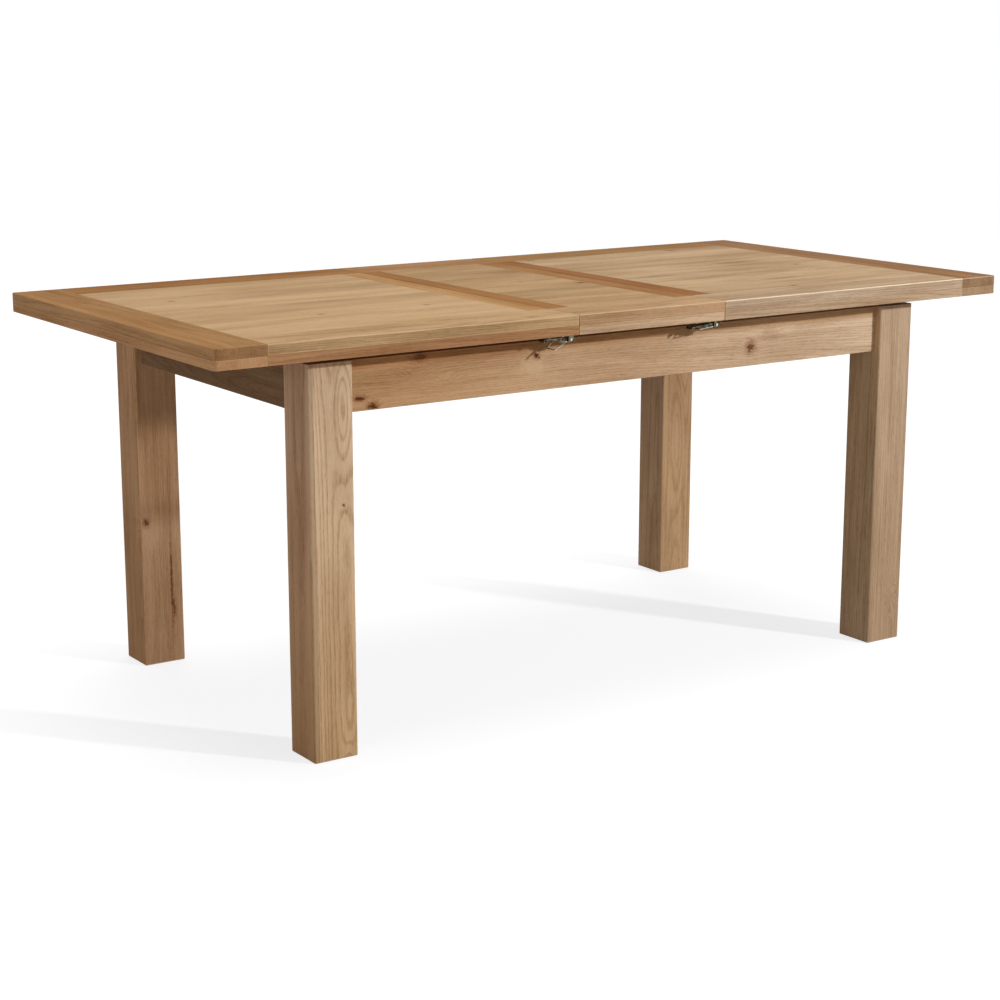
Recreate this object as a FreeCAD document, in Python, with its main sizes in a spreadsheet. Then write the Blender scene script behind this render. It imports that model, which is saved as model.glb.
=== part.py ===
"""Extending oak dining table with its extension leaf in place.

The frame of four legs and four aprons stands still. Two top halves slide apart on wooden runners,
and a loose leaf lies between them. Wire catches under the long edges hold the three tops together.

Millimetres. The origin is on the floor under the middle of the table: X runs along the table,
Y from the front long side to the rear one, Z up.
"""
import FreeCAD, Part

import math
import os
from types import SimpleNamespace

import Sketcher
from FreeCAD import Placement, Rotation, Vector

SIZES = {
    # Overall, with the leaf in place.
    "top_length": 1850,
    "top_width": 900,
    "table_height": 780,
    "leaf_length": 350,
    "seam_gap": 0.4,
    # Two layers of boards: the upper one shows on top, the lower one thickens the edges.
    "board_thickness": 20,
    "edging_thickness": 18,
    "rail_width": 100,
    "end_board_width": 100,
    "strip_width": 48,
    "seam_edging_width": 70,
    "batten_width": 60,
    "batten_setback": 540,
    "arris": 1.6,
    "corner_radius": 8,
    # Frame.
    "frame_length": 1450,
    "frame_width": 810,
    "frame_gap": 12,
    "leg_size": 90,
    "leg_arris": 4,
    "leg_flat": 20,
    "apron_height": 96,
    "apron_drop": 2,
    "apron_thickness": 22,
    "apron_setback": 16,
    "bearer_width": 45,
    "bearer_offset": 350,
    # How far cutting shapes reach past what they cut.
    "cut_margin": 8,
    # Corner blocks and the hanger bolts through them into the legs.
    "block_thickness": 28,
    "block_height": 70,
    "bolt_spacing": 36,
    "bolt_radius": 4,
    "bolt_length": 87,
    "bolt_bite": 45,
    "bolt_hole_radius": 4.5,
    "washer_radius": 10,
    "washer_thickness": 2,
    "nut_flats": 13,
    "nut_height": 6.5,
    "nut_thread_radius": 4.05,
    # Sliding runners and the fixed guides that they run along.
    "guide_offset": 200,
    "guide_width": 28,
    "guide_height": 48,
    "guide_length": 1000,
    "runner_width": 24,
    "runner_height": 50,
    "runner_length": 900,
    "runner_reach": 260,
    "tongue_height": 8,
    "tongue_depth": 6,
    "tongue_level": 22,
    "slide_clearance": 0.5,
    # Long wood screws of the runners and guides.
    "long_screw_length": 40,
    "long_screw_radius": 2,
    "long_screw_hole_radius": 2.3,
    "long_screw_head_radius": 4,
    "long_screw_head_height": 2.5,
    "counterbore_radius": 6,
    "runner_counterbore": 25,
    "bearer_counterbore": 34,
    # Catches. Each stands on its own centre line, inside the long edge of the top.
    "catch_inset": 29,
    "catch_sheet": 1.5,
    "catch_corner_radius": 4,
    "plate_length": 60,
    "plate_width": 34,
    "plate_setback": 1,
    "ear_length": 11,
    "ear_drop": 13.5,
    "ear_spacing": 22,
    "pivot_setback": 6.5,
    "pivot_drop": 9.5,
    "pin_radius": 2,
    "pin_head_radius": 3.2,
    "pin_head_height": 1.2,
    "pin_fit": 0.03,
    "hinge_clearance": 0.05,
    "lever_width": 18,
    "lever_reach": 56,
    "lever_drop": 5.7,
    "lever_hang_angle": 5,
    "cheek_length": 42,
    "cheek_knee": 12,
    "cheek_depth": 6.5,
    "cheek_heel": 4.5,
    "cheek_heel_depth": 4.5,
    "cheek_rounding": 2.5,
    "pivot_barrel_radius": 3.6,
    "bail_barrel_radius": 2.8,
    "barrel_length": 21.2,
    "curl_radius": 3.2,
    "bail_offset": 14.5,
    "bail_wire_radius": 1.25,
    "bail_reach": 28,
    "bail_pivot_width": 40,
    "bail_tip_width": 28,
    "bail_end_gap": 8,
    "bail_bend": 3.5,
    "bail_hang_angle": 36,
    "bail_folded_angle": 4,
    "keeper_length": 28,
    "keeper_width": 28,
    "keeper_setback": 3,
    "hook_width": 18,
    "hook_drop": 8,
    "hook_reach": 5,
    # Small screws of the catches and keepers.
    "small_screw_length": 11,
    "small_screw_radius": 1.6,
    "small_screw_hole_radius": 1.75,
    "small_screw_head_radius": 3,
    "small_screw_head_height": 1.6,
    "recess_length": 3.4,
    "recess_width": 0.8,
    "recess_depth": 0.9,
    "plate_screw_setback": 26,
    "plate_screw_spacing": 30,
    "plate_screw_offset": 12,
    "keeper_screw_setback": 20,
    "keeper_screw_offset": 9,
}


class Formula:
    """A length worked out from the sheet: text binds an object to its cells, number is what it comes to."""

    def __init__(self, text, number):
        self.text = text
        self.number = number

    def joined(self, sign, other, number):
        return Formula(f"({self.text} {sign} {other.text})", number)

    def __add__(self, other):
        other = formula(other)
        return self.joined("+", other, self.number + other.number)

    def __sub__(self, other):
        other = formula(other)
        return self.joined("-", other, self.number - other.number)

    def __mul__(self, other):
        other = formula(other)
        return self.joined("*", other, self.number * other.number)

    def __truediv__(self, other):
        other = formula(other)
        return self.joined("/", other, self.number / other.number)

    def __neg__(self):
        return formula(0) - self

    def __radd__(self, other):
        return formula(other) + self

    def __rsub__(self, other):
        return formula(other) - self

    def __rmul__(self, other):
        return formula(other) * self


def formula(item):
    return item if isinstance(item, Formula) else Formula(f"({item})", float(item))


doc = FreeCAD.newDocument("extending_table")
sheet = doc.addObject("Spreadsheet::Sheet", "Sizes")
for row, (alias, number) in enumerate(SIZES.items(), 1):
    sheet.set(f"A{row}", alias)
    sheet.set(f"B{row}", str(number))
    sheet.setAlias(f"B{row}", alias)
doc.recompute()
size = SimpleNamespace(**{alias: Formula(f"Sizes.{alias}", number) for alias, number in SIZES.items()})

# Levels and lines that several pieces share.
UPPER_LEVEL = size.table_height - size.board_thickness
UNDERSIDE = UPPER_LEVEL - size.edging_thickness
FRAME_TOP = UNDERSIDE - size.frame_gap
APRON_BOTTOM = FRAME_TOP - size.apron_height
SLIDE_LEVEL = UNDERSIDE - size.runner_height
SCREW_FACE = UNDERSIDE - size.catch_sheet
HALF_LENGTH = size.top_length / 2
HALF_WIDTH = size.top_width / 2
HALF_LEAF = size.leaf_length / 2
SEAM = HALF_LEAF + size.seam_gap
FIELD_WIDTH = size.top_width - 2 * size.rail_width
APRON_FACE = size.frame_width / 2 - size.apron_setback
END_APRON_FACE = size.frame_length / 2 - size.apron_setback
CATCH_LINE = HALF_WIDTH - size.catch_inset
SIDES = {"front": -1, "rear": 1}
ENDS = {"left": -1, "right": 1}
ORIGIN = (0, 0, 0)
ALONG_Y = Rotation(Vector(1, 0, 0), -90)
SQRT_2 = Formula("sqrt(2)", math.sqrt(2))
SQRT_3 = Formula("sqrt(3)", math.sqrt(3))

nodes = []


# ---------------------------------------------------------------- naming and placing

def bind(item, **lengths):
    for name, length in lengths.items():
        item.setExpression(name, formula(length).text)


def place(item, corner=ORIGIN, turn=None):
    """Puts an object at a point, turned if asked."""
    coordinates = [formula(coordinate) for coordinate in corner]
    point = Vector(*(coordinate.number for coordinate in coordinates))
    item.Placement = Placement(point, turn or Rotation())
    for axis, coordinate in zip("xyz", coordinates):
        item.setExpression(f"Placement.Base.{axis}", coordinate.text)
    return item


def node(item, label):
    """Marks an object as a finished sub-part with its own name."""
    item.Label = label
    nodes.append(item)
    return item


def group(label, members):
    """One node of several separate solids."""
    compound = doc.addObject("Part::Compound", label)
    compound.Links = members
    return node(compound, label)


def side_line(way, distance):
    """The same distance to either side of the middle: way is -1 or 1."""
    return formula(distance) * way


def lowest(way, near, far):
    """The lower end of a stretch that lies from near to far from the middle, to the side given by way."""
    return -far if way < 0 else near


# ---------------------------------------------------------------- Part Design helpers

def sketch_on(body, plane_role, level=0):
    """An empty sketch on one of the body's own origin planes, raised along its normal."""
    sketch = body.newObject("Sketcher::SketchObject", f"{body.Name}_sketch")
    plane = next(item for item in body.Origin.OriginFeatures if item.Role == plane_role)
    sketch.AttachmentSupport = [(plane, "")]
    sketch.MapMode = "FlatFace"
    sketch.setExpression("AttachmentOffset.Base.z", formula(level).text)
    return sketch


def hold(sketch, constraint, length):
    """Adds a dimension to a sketch and binds it to the sheet."""
    index = sketch.addConstraint(Sketcher.Constraint(*constraint, formula(length).number))
    sketch.setExpression(f"Constraints[{index}]", formula(length).text)


def draw_polygon(sketch, corners):
    """A closed outline, each corner held at its distances from the sketch's origin."""
    points = [Vector(formula(x).number, formula(y).number, 0) for x, y in corners]
    count = len(points)
    for index, point in enumerate(points):
        sketch.addGeometry(Part.LineSegment(point, points[(index + 1) % count]), False)
    for index in range(count):
        sketch.addConstraint(Sketcher.Constraint("Coincident", index, 2, (index + 1) % count, 1))
    for index, (x, y) in enumerate(corners):
        hold(sketch, ("DistanceX", -1, 1, index, 1), x)
        hold(sketch, ("DistanceY", -1, 1, index, 1), y)


def draw_circles(sketch, centres, radius):
    for index, (x, y) in enumerate(centres):
        centre = Vector(formula(x).number, formula(y).number, 0)
        sketch.addGeometry(Part.Circle(centre, Vector(0, 0, 1), radius.number), False)
        hold(sketch, ("DistanceX", -1, 1, index, 3), x)
        hold(sketch, ("DistanceY", -1, 1, index, 3), y)
        hold(sketch, ("Radius", index), radius)


def pad(body, sketch, length):
    feature = body.newObject("PartDesign::Pad", f"{body.Name}_pad")
    feature.Profile = sketch
    bind(feature, Length=length)
    body.Tip = feature
    doc.recompute()


def pocket_up(body, sketch, depth):
    """Cuts along the sketch's normal, and makes sure that it did."""
    before = body.Shape.Volume
    feature = body.newObject("PartDesign::Pocket", f"{body.Name}_pocket")
    feature.Profile = sketch
    feature.Reversed = True
    bind(feature, Length=depth)
    body.Tip = feature
    doc.recompute()
    assert body.Shape.Volume < before - 1, f"a pocket of {body.Label} cut nothing"


def extent(shape, axis):
    """Lowest and highest coordinate of a shape along x, y or z."""
    bounds = shape.BoundBox
    return getattr(bounds, f"{axis.upper()}Min"), getattr(bounds, f"{axis.upper()}Max")


def edges_in(shape, sides, barred=()):
    """Names of the edges in all the given sides of the shape's box, such as "+z", and in none barred."""
    tolerance = 0.01

    def lies_in(edge, side):
        level = extent(shape, side[1])[side[0] == "+"]
        return all(abs(end - level) < tolerance for end in extent(edge, side[1]))

    names = []
    for index, edge in enumerate(shape.Edges, 1):
        if all(lies_in(edge, side) for side in sides) and not any(lies_in(edge, side) for side in barred):
            names.append(f"Edge{index}")
    return names


def round_edges(body, names, radius):
    if not names:
        return
    base = body.Tip
    fillet = body.newObject("PartDesign::Fillet", f"{body.Name}_fillet")
    fillet.Base = (base, names)
    bind(fillet, Radius=radius)
    body.Tip = fillet
    doc.recompute()


def board(label, corner, dimensions, free="", shown="", upright_radius=size.arris):
    """A board with its lowest corner at corner.

    free lists the sides that meet no other board, such as "-x +y". Upright edges between two free
    sides are rounded to upright_radius, and the free rim of the face named by shown to the arris.
    """
    free = free.split()
    body = doc.addObject("PartDesign::Body", label)
    body.Label = label
    length, width, height = dimensions
    outline = sketch_on(body, "XY_Plane")
    draw_polygon(outline, [(0, 0), (length, 0), (length, width), (0, width)])
    pad(body, outline, height)
    along = [side for side in free if side[1] == "x"]
    across = [side for side in free if side[1] == "y"]
    uprights = [name for first in along for second in across
                for name in edges_in(body.Tip.Shape, [first, second])]
    round_edges(body, uprights, upright_radius)
    if shown:
        joined = [side for side in ("-x", "+x", "-y", "+y") if side not in free]
        round_edges(body, edges_in(body.Tip.Shape, [shown], joined), size.arris)
    return place(body, corner)


def bore_up(body, centres, counterbore_depth, through):
    """Counterbored screw holes from the underside of a body."""
    steps = (size.counterbore_radius, counterbore_depth), (size.long_screw_hole_radius, through)
    for radius, depth in steps:
        holes = sketch_on(body, "XY_Plane")
        draw_circles(holes, centres, radius)
        pocket_up(body, holes, depth)


# ---------------------------------------------------------------- Part primitive helpers

def box(name, corner, dimensions):
    item = doc.addObject("Part::Box", name)
    bind(item, Length=dimensions[0], Width=dimensions[1], Height=dimensions[2])
    return place(item, corner)


def cylinder(name, base, radius, height, turn=None):
    item = doc.addObject("Part::Cylinder", name)
    bind(item, Radius=radius, Height=height)
    return place(item, base, turn)


def cross_cylinder(name, x, z, radius, length):
    """A cylinder along Y with its middle on the XZ plane."""
    return cylinder(name, (x, -length / 2, z), radius, length, ALONG_Y)


def fuse(name, shapes):
    item = doc.addObject("Part::MultiFuse", name)
    item.Shapes = shapes
    return item


def cut(name, base, tool):
    item = doc.addObject("Part::Cut", name)
    item.Base = base
    item.Tool = tool
    return item


# ---------------------------------------------------------------- tops

def rail_start(way):
    """Lowest Y of a rail on the long side given by way."""
    return lowest(way, HALF_WIDTH - size.rail_width, HALF_WIDTH)


def outward(axis, way):
    return ("-" if way < 0 else "+") + axis


def top_half(name, way):
    """The boards of one sliding half, on the end of the table given by way."""
    outer, inner = outward("x", way), outward("x", -way)
    end_free = f"{outer} -y +y"
    end_start = HALF_LENGTH - size.end_board_width
    strip_end = SEAM + size.strip_width
    end_x = lowest(way, end_start, HALF_LENGTH)
    rail_x = lowest(way, SEAM, end_start)
    rail_length = end_start - SEAM

    def across(label, near, far, level, thickness, free="", shown=""):
        corner = (lowest(way, near, far), -FIELD_WIDTH / 2, level)
        node(board(label, corner, (far - near, FIELD_WIDTH, thickness), free, shown), label)

    layers = (("board", UPPER_LEVEL, size.board_thickness, "+z"),
              ("edging", UNDERSIDE, size.edging_thickness, "-z"))
    for layer, level, thickness, shown in layers:
        label = f"{name}_end_{layer}"
        corner = (end_x, -HALF_WIDTH, level)
        dimensions = (size.end_board_width, size.top_width, thickness)
        node(board(label, corner, dimensions, end_free, shown, size.corner_radius), label)
    for side, side_way in SIDES.items():
        label = f"{name}_{side}_rail"
        free = f"{inner} {outward('y', side_way)}"
        dimensions = (rail_length, size.rail_width, size.board_thickness)
        node(board(label, (rail_x, rail_start(side_way), UPPER_LEVEL), dimensions, free, "+z"), label)
    across(f"{name}_cross_strip", SEAM, strip_end, UPPER_LEVEL, size.board_thickness, inner, "+z")
    across(f"{name}_panel", strip_end, end_start, UPPER_LEVEL, size.board_thickness)

    long_edging = (rail_length, size.rail_width, size.edging_thickness)
    group(f"{name}_long_edgings", [
        board(f"{name}_{side}_edging", (rail_x, rail_start(side_way), UNDERSIDE), long_edging,
              f"{inner} {outward('y', side_way)}", "-z")
        for side, side_way in SIDES.items()])
    across(f"{name}_seam_edging", SEAM, SEAM + size.seam_edging_width, UNDERSIDE, size.edging_thickness,
           inner, "-z")
    across(f"{name}_batten", size.batten_setback, size.batten_setback + size.batten_width, UNDERSIDE,
           size.edging_thickness)


def leaf_boards():
    """The loose leaf, built as the halves are, with both its ends open to the seams."""
    for side, side_way in SIDES.items():
        label = f"leaf_{side}_rail"
        free = f"-x +x {outward('y', side_way)}"
        dimensions = (size.leaf_length, size.rail_width, size.board_thickness)
        node(board(label, (-HALF_LEAF, rail_start(side_way), UPPER_LEVEL), dimensions, free, "+z"), label)
    for end, way in ENDS.items():
        label = f"leaf_{end}_strip"
        x = lowest(way, HALF_LEAF - size.strip_width, HALF_LEAF)
        dimensions = (size.strip_width, FIELD_WIDTH, size.board_thickness)
        node(board(label, (x, -FIELD_WIDTH / 2, UPPER_LEVEL), dimensions, outward("x", way), "+z"), label)
    node(board("leaf_panel", (-HALF_LEAF + size.strip_width, -FIELD_WIDTH / 2, UPPER_LEVEL),
               (size.leaf_length - 2 * size.strip_width, FIELD_WIDTH, size.board_thickness)), "leaf_panel")
    long_edging = (size.leaf_length, size.rail_width, size.edging_thickness)
    group("leaf_long_edgings", [
        board(f"leaf_{side}_edging", (-HALF_LEAF, rail_start(side_way), UNDERSIDE), long_edging,
              f"-x +x {outward('y', side_way)}", "-z")
        for side, side_way in SIDES.items()])
    group("leaf_seam_edgings", [
        board(f"leaf_{end}_seam_edging",
              (lowest(way, HALF_LEAF - size.seam_edging_width, HALF_LEAF), -FIELD_WIDTH / 2, UNDERSIDE),
              (size.seam_edging_width, FIELD_WIDTH, size.edging_thickness), outward("x", way), "-z")
        for end, way in ENDS.items()])


# ---------------------------------------------------------------- frame

CORNERS = {
    # Direction of the corner from the middle, and the turn that brings a front left corner there.
    "front_left": (-1, -1, 0),
    "front_right": (1, -1, 90),
    "rear_right": (1, 1, 180),
    "rear_left": (-1, 1, 270),
}


def leg_centre(x_way, y_way):
    return (side_line(x_way, (size.frame_length - size.leg_size) / 2),
            side_line(y_way, (size.frame_width - size.leg_size) / 2))


def leg(name, x_way, y_way, degrees):
    """A square leg about its own axis, with a flat on its inner corner for the corner block."""
    body = doc.addObject("PartDesign::Body", name)
    half = size.leg_size / 2
    outline = sketch_on(body, "XY_Plane")
    draw_polygon(outline, [(-half, -half), (half, -half), (half, half), (-half, half)])
    pad(body, outline, FRAME_TOP)
    uprights = [edge for along in ("-x", "+x") for across in ("-y", "+y")
                for edge in edges_in(body.Tip.Shape, [along, across])]
    round_edges(body, uprights, size.leg_arris)
    round_edges(body, edges_in(body.Tip.Shape, ["-z"]), size.arris)
    flat = sketch_on(body, "XY_Plane", APRON_BOTTOM)
    inner = half - size.leg_flat - size.cut_margin
    outer = half + size.cut_margin
    draw_polygon(flat, [(outer, inner), (outer, outer), (inner, outer)])
    pocket_up(body, flat, size.apron_height + size.cut_margin)
    turn = Rotation(Vector(0, 0, 1), degrees)
    node(place(body, (*leg_centre(x_way, y_way), 0), turn), name)


def corner_block(name, x_way, y_way, degrees):
    """A block across the corner, in front of the leg's flat, cut to the inner faces of both aprons."""
    blank = doc.addObject("PartDesign::Body", f"{name}_blank")
    apron = size.apron_setback + size.apron_thickness - size.leg_size / 2
    flat_line = size.leg_size - size.leg_flat - apron
    face_line = flat_line + size.block_thickness * SQRT_2
    outline = sketch_on(blank, "XY_Plane")
    draw_polygon(outline, [(flat_line, apron), (face_line, apron), (apron, face_line), (apron, flat_line)])
    pad(blank, outline, size.block_height)
    diagonal = Rotation(Vector(0, 0, 1), Vector(1, 1, 0))
    start = (size.leg_size - size.leg_flat) / 2 - size.cut_margin / SQRT_2
    holes = [cylinder(f"{name}_hole", (start, start, size.block_height / 2 + way * size.bolt_spacing / 2),
                      size.bolt_hole_radius, size.block_thickness + 2 * size.cut_margin, diagonal)
             for way in (-1, 1)]
    drilled = cut(name, blank, fuse(f"{name}_holes", holes))
    level = (FRAME_TOP + APRON_BOTTOM - size.block_height) / 2
    return place(drilled, (*leg_centre(x_way, y_way), level), Rotation(Vector(0, 0, 1), degrees))


def along_bolts(name, make, start):
    """A small part on every hanger bolt, standing start millimetres out of the leg's flat."""
    members = []
    reach = (size.leg_size - size.leg_flat) / 2 + start / SQRT_2
    for x_way, y_way, _ in CORNERS.values():
        x, y = leg_centre(x_way, y_way)
        turn = Rotation(Vector(0, 0, 1), Vector(-x_way, -y_way, 0))
        for level_way in (-1, 1):
            level = (FRAME_TOP + APRON_BOTTOM) / 2 + level_way * size.bolt_spacing / 2
            item = make(f"{name}_{len(members) + 1}")
            members.append(place(item, (x - x_way * reach, y - y_way * reach, level), turn))
    group(name, members)


def leg_fixings():
    """Two hanger bolts in each leg, each with a washer and a nut on the corner block."""
    along_bolts("leg_bolts", lambda name: cylinder(name, ORIGIN, size.bolt_radius, size.bolt_length),
                -size.bolt_bite)

    disc = cylinder("washer_disc", ORIGIN, size.washer_radius, size.washer_thickness)
    disc_hole = cylinder("washer_hole", ORIGIN, size.bolt_hole_radius, size.washer_thickness)
    along_bolts("leg_washers", lambda name: cut(name, disc, disc_hole), size.block_thickness)

    hexagon = doc.addObject("Part::Prism", "nut_blank")
    hexagon.Polygon = 6
    bind(hexagon, Circumradius=size.nut_flats / SQRT_3, Height=size.nut_height)
    thread = cylinder("nut_thread", ORIGIN, size.nut_thread_radius, size.nut_height)
    along_bolts("leg_nuts", lambda name: cut(name, hexagon, thread),
                size.block_thickness + size.washer_thickness)


def aprons():
    """Long aprons between the legs' inner faces, and end aprons between the legs of each end."""
    height = size.apron_height - size.apron_drop
    for side, way in SIDES.items():
        corner = (size.leg_size - size.frame_length / 2,
                  lowest(way, APRON_FACE - size.apron_thickness, APRON_FACE), APRON_BOTTOM)
        dimensions = (size.frame_length - 2 * size.leg_size, size.apron_thickness, height)
        node(board(f"{side}_apron", corner, dimensions, "-y +y", "-z"), f"{side}_apron")
    for end, way in ENDS.items():
        corner = (lowest(way, END_APRON_FACE - size.apron_thickness, END_APRON_FACE),
                  size.leg_size - size.frame_width / 2, APRON_BOTTOM)
        dimensions = (size.apron_thickness, size.frame_width - 2 * size.leg_size, height)
        node(board(f"{end}_apron", corner, dimensions, "-x +x", "-z"), f"{end}_apron")


def bearers():
    """Cross bearers between the long aprons, bored for the screws that hold the guides."""
    length = 2 * (APRON_FACE - size.apron_thickness)
    height = SLIDE_LEVEL - APRON_BOTTOM
    for end, way in ENDS.items():
        corner = (side_line(way, size.bearer_offset) - size.bearer_width / 2, -length / 2, APRON_BOTTOM)
        bearer = board(f"{end}_bearer", corner, (size.bearer_width, length, height), "-x +x", "-z")
        centres = [(size.bearer_width / 2, length / 2 + side_line(side_way, size.guide_offset))
                   for side_way in SIDES.values()]
        bore_up(bearer, centres, size.bearer_counterbore, height)
        node(bearer, f"{end}_bearer")


def guides():
    """Fixed bars on the bearers, grooved along both sides for the runners' tongues."""
    half = size.guide_width / 2
    bed = half - size.tongue_depth
    low = size.tongue_level - size.slide_clearance
    high = size.tongue_level + size.tongue_height + size.slide_clearance
    top = size.guide_height
    right_side = [(half, 0), (half, low), (bed, low), (bed, high), (half, high), (half, top)]
    left_side = [(-y, z) for y, z in reversed(right_side)]
    for side, way in SIDES.items():
        body = doc.addObject("PartDesign::Body", f"{side}_guide")
        section = sketch_on(body, "YZ_Plane")
        draw_polygon(section, right_side + left_side)
        pad(body, section, size.guide_length)
        corner = (-size.guide_length / 2, side_line(way, size.guide_offset), SLIDE_LEVEL)
        node(place(body, corner), f"{side}_guide")


def runner_ways(end_way):
    """Each guide's side, and the side of it that the runner of this end lies on.

    The left half's runners lie outside the two guides and the right half's between them, so that they pass.
    """
    for side, side_way in SIDES.items():
        yield side, side_way, side_way * -end_way


def screw_lines(end_way):
    """X of the two rows of runner screws: up into the batten and into the seam edging."""
    batten_line = size.batten_setback + size.batten_width / 2
    return [side_line(end_way, batten_line), side_line(end_way, SEAM + size.seam_edging_width / 2)]


def runners(end, end_way):
    """The two runners under a half, with tongues that run in the guides."""
    width = size.runner_width
    tip = width + size.tongue_depth
    tongue_top = size.tongue_level + size.tongue_height
    profile = [(0, 0), (width, 0), (width, size.tongue_level), (tip, size.tongue_level), (tip, tongue_top),
               (width, tongue_top), (width, size.runner_height), (0, size.runner_height)]
    start = lowest(end_way, -size.runner_reach, size.runner_length - size.runner_reach)
    members = []
    for side, side_way, away in runner_ways(end_way):
        body = doc.addObject("PartDesign::Body", f"{end}_{side}_runner")
        section = sketch_on(body, "YZ_Plane")
        draw_polygon(section, [(side_line(-away, y), z) for y, z in profile])
        pad(body, section, size.runner_length)
        bore_up(body, [(line - start, side_line(-away, width / 2)) for line in screw_lines(end_way)],
                size.runner_counterbore, size.runner_height)
        outer_face = (side_line(side_way, size.guide_offset)
                      + side_line(away, size.guide_width / 2 + size.slide_clearance + width))
        members.append(place(body, (start, outer_face, SLIDE_LEVEL)))
    group(f"{end}_runners", members)


# ---------------------------------------------------------------- screws

def screw_maker(kind, radius, length, head_radius, head_height):
    """Shared shapes of one kind of cross-head screw, pointing up. Returns a function that adds a screw."""
    blank = fuse(f"{kind}_screw_blank", [
        cylinder(f"{kind}_screw_head", (0, 0, -head_height), head_radius, head_height),
        cylinder(f"{kind}_screw_shank", ORIGIN, radius, length)])
    arm = size.recess_length
    half_arm = arm / 2
    half_slot = size.recess_width / 2
    slot = size.recess_width
    recess = fuse(f"{kind}_screw_recess", [
        box(f"{kind}_slot", (-half_arm, -half_slot, -head_height), (arm, slot, size.recess_depth)),
        box(f"{kind}_slot", (-half_slot, -half_arm, -head_height), (slot, arm, size.recess_depth))])

    def add(name, x, y, z):
        return place(cut(name, blank, recess), (x, y, z))

    return add


def plate_screws(owner, add_screw, seam):
    """Screws of a seam's two catch plates."""
    rows = [size.plate_screw_setback, size.plate_screw_setback + size.plate_screw_spacing]
    return [add_screw(f"{owner}_plate_screw", seam - setback,
                      side_line(side_way, CATCH_LINE) + side_line(way, size.plate_screw_offset), SCREW_FACE)
            for side_way in SIDES.values() for setback in rows for way in (-1, 1)]


def keeper_screws(owner, add_screw, seam):
    """Screws of a seam's two keepers."""
    return [add_screw(f"{owner}_keeper_screw", seam + size.keeper_screw_setback,
                      side_line(side_way, CATCH_LINE) + side_line(way, size.keeper_screw_offset), SCREW_FACE)
            for side_way in SIDES.values() for way in (-1, 1)]


def runner_screws(end, add_screw, end_way):
    """Screws through the runners of a half."""
    level = SLIDE_LEVEL + size.runner_counterbore
    to_middle = (size.guide_width + size.runner_width) / 2 + size.slide_clearance
    return [add_screw(f"{end}_runner_screw", x,
                      side_line(side_way, size.guide_offset) + side_line(away, to_middle), level)
            for x in screw_lines(end_way) for _, side_way, away in runner_ways(end_way)]


def all_screws():
    """One node of screws for each body, and one for the guides."""
    add_small = screw_maker("small", size.small_screw_radius, size.small_screw_length,
                            size.small_screw_head_radius, size.small_screw_head_height)
    add_long = screw_maker("long", size.long_screw_radius, size.long_screw_length,
                           size.long_screw_head_radius, size.long_screw_head_height)
    group("left_top_screws", plate_screws("left", add_small, -SEAM) + runner_screws("left", add_long, -1))
    group("right_top_screws", keeper_screws("right", add_small, SEAM) + runner_screws("right", add_long, 1))
    group("leaf_screws",
          plate_screws("leaf", add_small, HALF_LEAF) + keeper_screws("leaf", add_small, -HALF_LEAF))
    group("guide_screws", [
        add_long("guide_screw", side_line(end_way, size.bearer_offset),
                 side_line(side_way, size.guide_offset), APRON_BOTTOM + size.bearer_counterbore)
        for end_way in ENDS.values() for side_way in SIDES.values()])


# ---------------------------------------------------------------- catches
# Their shared shapes are drawn with the seam at X 0 and the underside of the top at Z 0.

def punched_holes(name, centres):
    """Screw holes right through a sheet that lies under the underside."""
    reach = 3 * size.catch_sheet
    return [cylinder(name, (x, y, -reach), size.small_screw_hole_radius, 2 * reach) for x, y in centres]


def catch_plate_shapes():
    """The plate with its two ears, and what is punched out of it."""
    plate = board("catch_plate_sheet",
                  (-size.plate_setback - size.plate_length, -size.plate_width / 2, -size.catch_sheet),
                  (size.plate_length, size.plate_width, size.catch_sheet),
                  "-x +x -y +y", "", size.catch_corner_radius)
    ears = [box("catch_ear", (-size.pivot_setback - size.ear_length / 2, y, -size.ear_drop),
                (size.ear_length, size.catch_sheet, size.ear_drop))
            for y in (size.ear_spacing / 2, -size.ear_spacing / 2 - size.catch_sheet)]
    rows = [size.plate_screw_setback, size.plate_screw_setback + size.plate_screw_spacing]
    holes = punched_holes("catch_plate_hole", [(-row, side_line(way, size.plate_screw_offset))
                                               for row in rows for way in (-1, 1)])
    eye = cross_cylinder("catch_eye", -size.pivot_setback, -size.pivot_drop, size.pin_radius + size.pin_fit,
                         size.plate_width)
    return fuse("catch_plate_solid", [plate, *ears]), fuse("catch_plate_voids", [*holes, eye])


def pin_shapes():
    """The rivet of a catch about its own middle, with a head outside each ear."""
    length = size.ear_spacing + 2 * size.catch_sheet
    shank = cross_cylinder("pin_shank", 0, 0, size.pin_radius, length)
    heads = [cylinder("pin_head", (0, y, 0), size.pin_head_radius, size.pin_head_height, ALONG_Y)
             for y in (length / 2, -length / 2 - size.pin_head_height)]
    return [shank, *heads]


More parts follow.
